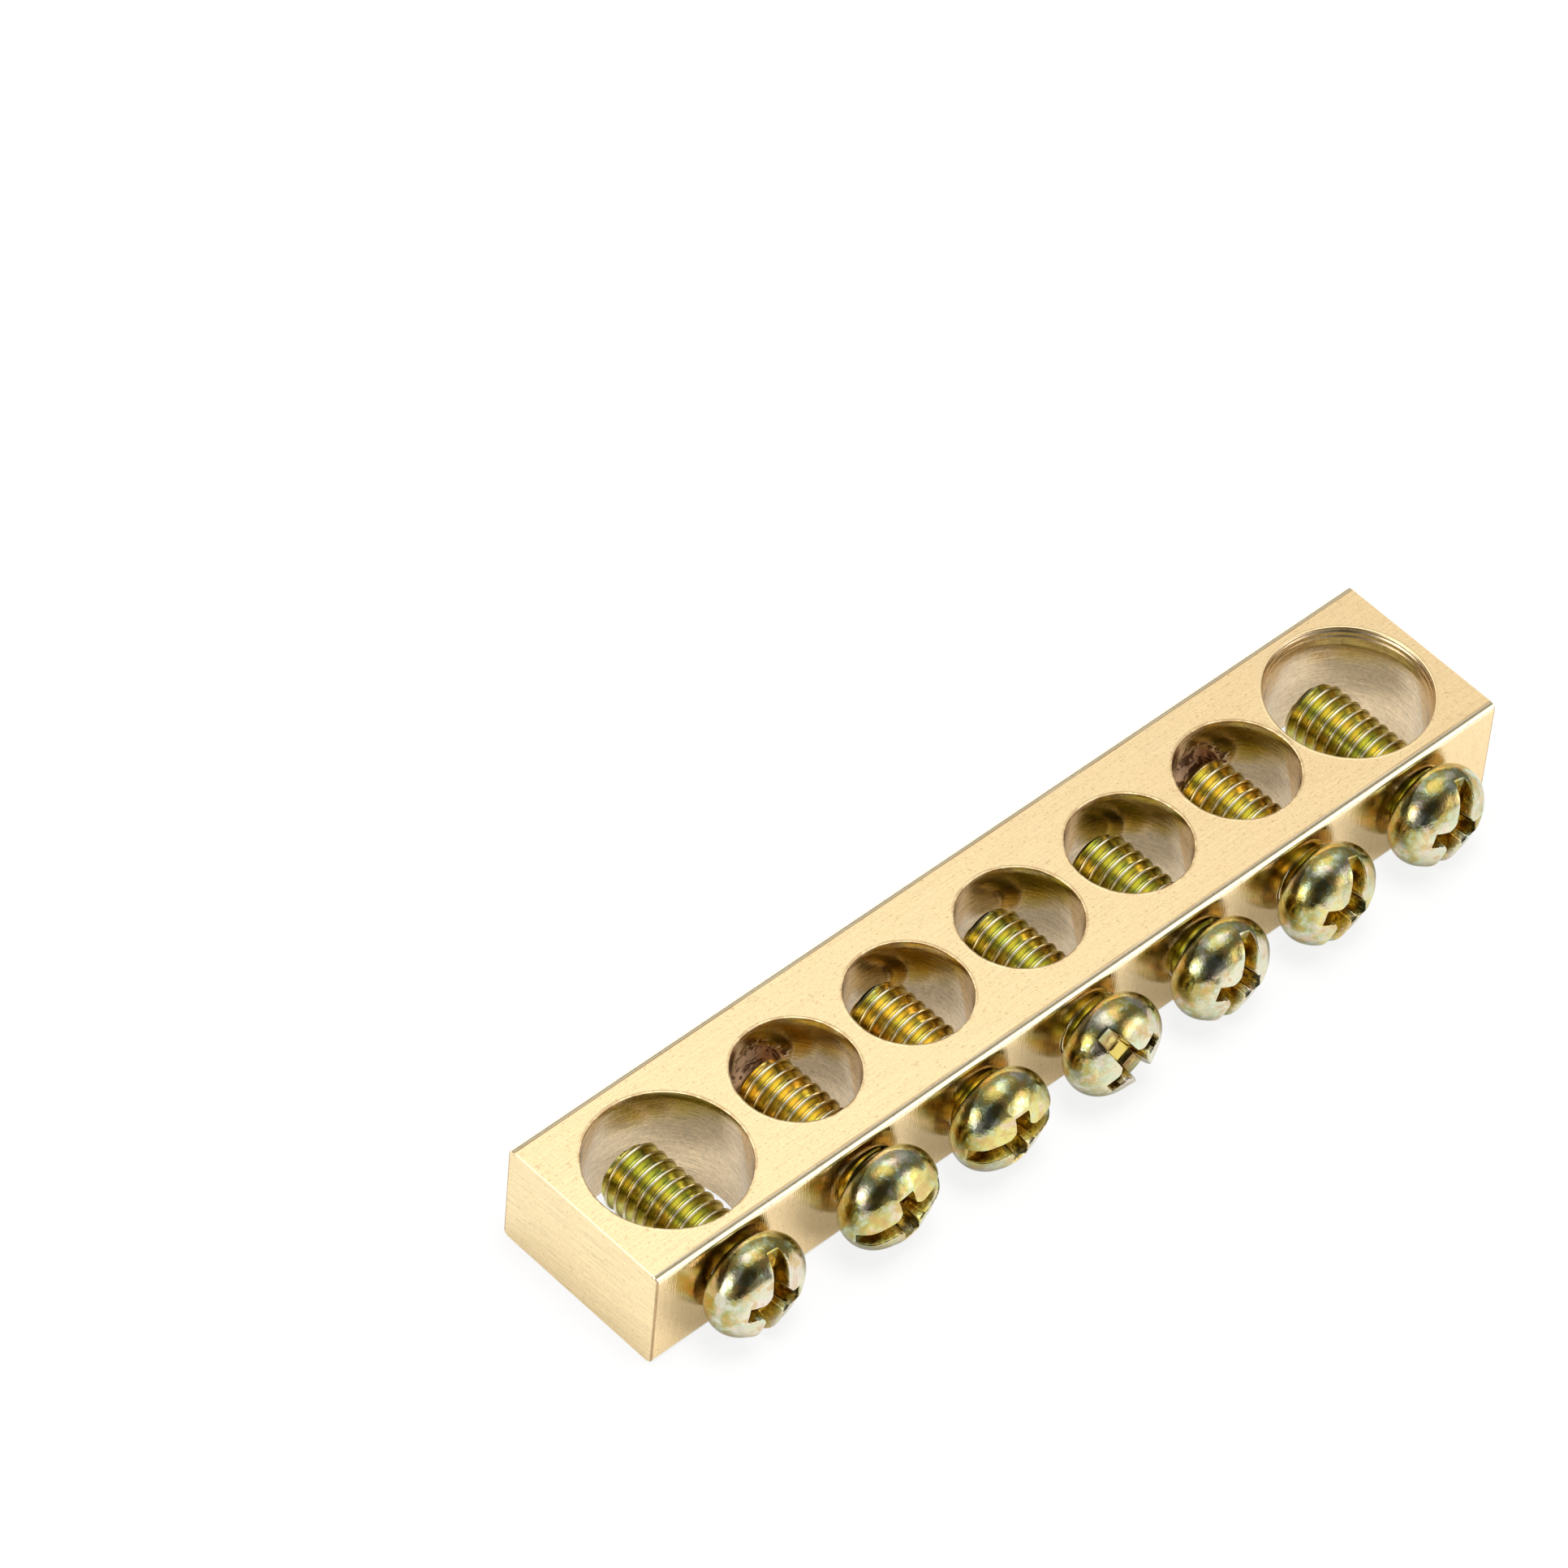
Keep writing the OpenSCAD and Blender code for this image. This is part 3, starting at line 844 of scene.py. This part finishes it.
# In the recess the film is golden brown, and its darkest brown is partly painted shade.
crown = net.blend(deep, crown, net.blend(net.rise(patch, 0.4, 0.6), brown_recess_and_shade, gold_recess))
print("steel with its head:", len(steel.node_tree.nodes), "nodes")

# %% [markdown]
# In the thread the film goes from green to gold in the root. A paler band along each crest is a painted
# highlight, and a brown line just before each crest is painted shade. The shader finds its way across the
# thread from the way along the shank less the angle round it: that difference, counted in pitches, is the
# same all along one line of the helix.

# %% Plated steel: colour of the thread
green_root, gold_root = (0.60, 0.58, 0.15), (0.84, 0.64, 0.16)
brown_root_patch, green_root_patch = (0.70, 0.42, 0.14), (0.50, 0.60, 0.20)
crest_shade_brown, crest_highlight_silver = (0.20, 0.12, 0.03), (0.86, 0.84, 0.66)
turns_before = 4

angle = net.node("Math", {0: y, 1: x}, operation="ARCTAN2")
turns = (along - thread_start) / pitch - angle / (2 * pi) + turns_before
lane = net.node("Math", {0: turns}, operation="FRACT")
# A paler band along each crest: a painted highlight.
near_crest = net.rise(abs(lane - 0.5), 0.36, 0.43)
# A brown line just before each crest, on its shaded side: painted shade.
shade_before_crest = net.rise(abs(lane - 0.86), 0.08, 0.02)
root = net.blend(net.rise(film + gold * 0.4, 0.5, 0.85), green_root, gold_root)
root = net.blend(net.rise(patch, 0.54, 0.66) * 0.4, root, brown_root_patch)
root = net.blend(net.rise(patch, 0.46, 0.36) * 0.5, root, green_root_patch)
winding = net.blend(shade_before_crest * 0.6, root, crest_shade_brown)
winding = net.blend(near_crest, winding, crest_highlight_silver)
colour = net.blend(on_thread, crown, winding)
colour = net.shade(colour, 1 + (fine - 0.5) * 0.4)
net.feed(shader.inputs["Base Color"], colour)
print("steel with its thread:", len(steel.node_tree.nodes), "nodes")

# %% Plated steel: roughness and bump
rough = 0.11 + (fine - 0.5) * 0.12 + on_thread * (1 - near_crest) * 0.07
net.feed(shader.inputs["Roughness"], rough)
height = fine * 1.9 + dents * 5.5 * (1 - on_thread)
net.feed(shader.inputs["Normal"], net.bump(height))
for piece in screws:
    piece.data.materials.append(steel)
print("steel is made of", len(steel.node_tree.nodes), "nodes")

# %% [markdown]
# The camera looks down on the bar from its near left, with a long lens from half a metre away and a slight
# roll, as the photograph was framed. It could be turned by a constraint, but its axes worked out from the
# three angles stay as they are in every view.

# %% Camera
azimuth, elevation, roll = np.radians([-47.022, 48.588, 5.419])
aim = np.array([-0.941, 16.546, 3.4]) * MM
distance = 515.5 * MM
sensor_mm, lens_mm = 36, 225.5
nearest, farthest = 0.05, 20
ground = np.cos(elevation)
back = np.array([np.sin(azimuth) * ground, -np.cos(azimuth) * ground, np.sin(elevation)])
right = np.array([np.cos(azimuth), np.sin(azimuth), 0])
up = np.cross(back, right)
right, up = right * np.cos(roll) + up * np.sin(roll), up * np.cos(roll) - right * np.sin(roll)
lens = bpy.data.cameras.new("camera")
lens.sensor_width = sensor_mm
lens.lens = lens_mm
lens.clip_start, lens.clip_end = nearest, farthest
camera = bpy.data.objects.new("camera", lens)
placed = np.eye(4)
placed[:3, 0], placed[:3, 1], placed[:3, 2], placed[:3, 3] = right, up, back, aim + back * distance
camera.matrix_world = Matrix(placed.tolist())
bpy.context.scene.collection.objects.link(camera)
bpy.context.scene.camera = camera
print("camera at", [round(c / MM) for c in camera.matrix_world.translation], "mm")

# %% [markdown]
# The bar lies on white paper. The paper could be lit until it is white, but then the metal would get far too
# much light. So it is matt paper mixed with a white glow, and the share of the glow depends on the ray: most
# of it for the camera, some for reflections, and none for the light that the paper throws back on the bar.
# The rest is real paper, which keeps the bar's shadow.

# %% Floor
floor_half = 3000
paper_white, paper_rough = 0.92, 0.9
glow_seen, glow_mirrored = 0.85, 0.3
floor_mesh = bpy.data.meshes.new("floor")
corner_signs = ((-1, -1), (1, -1), (1, 1), (-1, 1))
floor_corners = [(x * floor_half * MM, y * floor_half * MM, 0) for x, y in corner_signs]
floor_mesh.from_pydata(floor_corners, [], [(0, 1, 2, 3)])
floor = bpy.data.objects.new("floor", floor_mesh)
bpy.context.scene.collection.objects.link(floor)
paper = bpy.data.materials.new("paper")
paper.use_nodes = True
net = Net(paper.node_tree)
shader = paper.node_tree.nodes["Principled BSDF"]
shader.inputs["Base Color"].default_value = (paper_white, paper_white, paper_white, 1)
shader.inputs["Roughness"].default_value = paper_rough
paths = net.node("LightPath").socket.node.outputs
ray_names = ("Is Camera Ray", "Is Glossy Ray", "Is Transmission Ray")
seen, mirrored, through = (Wire(net, paths[name]) for name in ray_names)
share = seen * glow_seen + mirrored * glow_mirrored + through * glow_mirrored
share = net.node("Math", {0: share, 1: glow_seen}, operation="MINIMUM")
glow = net.node("Emission", {"Color": (1, 1, 1, 1), "Strength": 1.0})
surface = net.node("MixShader", {0: share, 1: Wire(net, shader.outputs[0]), 2: glow})
net.feed(paper.node_tree.nodes["Material Output"].inputs["Surface"], surface)
floor_mesh.materials.append(paper)
print("floor is", 2 * floor_half * MM, "m wide")

# %% [markdown]
# Polished metal shows its surroundings, so these matter more than the lamp. An image of a studio could be
# wrapped round the scene, but plain patches are easier to move. The world is a dim tent with soft round
# patches of light by direction: high at the back, which the bar's top mirrors, and low at the front right
# and at the left, which put the highlights on the heads. Darker gaps lie on the camera's side and high at
# the right. Each is given by its strength, its azimuth and elevation, and the angles from its middle where it
# starts to fade and has gone.

# %% World
world = bpy.data.worlds.new("tent")
bpy.context.scene.world = world
world.use_nodes = True
net = Net(world.node_tree)
toward = net.node("TexCoord", out=0)


def glow_at(azimuth, elevation, inner, outer):
    """A soft patch: 1 within inner degrees of a direction, 0 beyond outer; azimuth 0 is -Y, 90 is +X."""
    a, e = np.radians([azimuth, elevation])
    middle = (float(np.sin(a) * np.cos(e)), float(-np.cos(a) * np.cos(e)), float(np.sin(e)))
    nearness = net.node("VectorMath", {0: toward, 1: middle}, out=1, operation="DOT_PRODUCT")
    return net.rise(nearness, float(np.cos(np.radians(outer))), float(np.cos(np.radians(inner))))


tent = 0.27
back_glows = [(1.0, 140, 76, 14, 34), (0.40, 145, 52, 18, 44), (0.25, 175, 66, 8, 28)]
right_glows = [(1.4, 36, 16, 15, 31), (0.7, 36, 18, 4, 16)]
left_glows = [(1.9, -103, 20, 12, 32), (1.3, -105, 24, 3, 14)]
gaps = [(0.8, -40, 4, 8, 22), (0.8, -34, 42, 14, 34), (0.6, 92, 62, 4, 14)]
level = tent
for strength, *place in back_glows + right_glows + left_glows:
    level = level + strength * glow_at(*place)
for depth, *place in gaps:
    level = level * (1 - depth * glow_at(*place))
backdrop = world.node_tree.nodes["Background"]
backdrop.inputs["Color"].default_value = (1, 1, 1, 1)
net.feed(backdrop.inputs["Strength"], level)
print("patches of light:", len(back_glows + right_glows + left_glows), "and gaps:", len(gaps))

# %% [markdown]
# One soft disk high above lights the paper and the bar evenly and gives the faint shadow. It is kept out of
# reflections, because the patches of the world already stand for everything that the metal mirrors.

# %% Key lamp
key_size = 240 * MM
key_power = 1.5
key_at = Vector((14, -39, 478)) * MM
key = bpy.data.lights.new("key", "AREA")
key.shape = "DISK"
key.size = key_size
key.energy = key_power
lamp = bpy.data.objects.new("key", key)
lamp.matrix_world = Matrix.LocRotScale(key_at, key_at.to_track_quat("Z", "Y"), None)
lamp.visible_glossy = False
bpy.context.scene.collection.objects.link(lamp)
bpy.context.scene.view_settings.view_transform = "Standard"
print("key lamp at", [round(c / MM) for c in key_at], "mm")
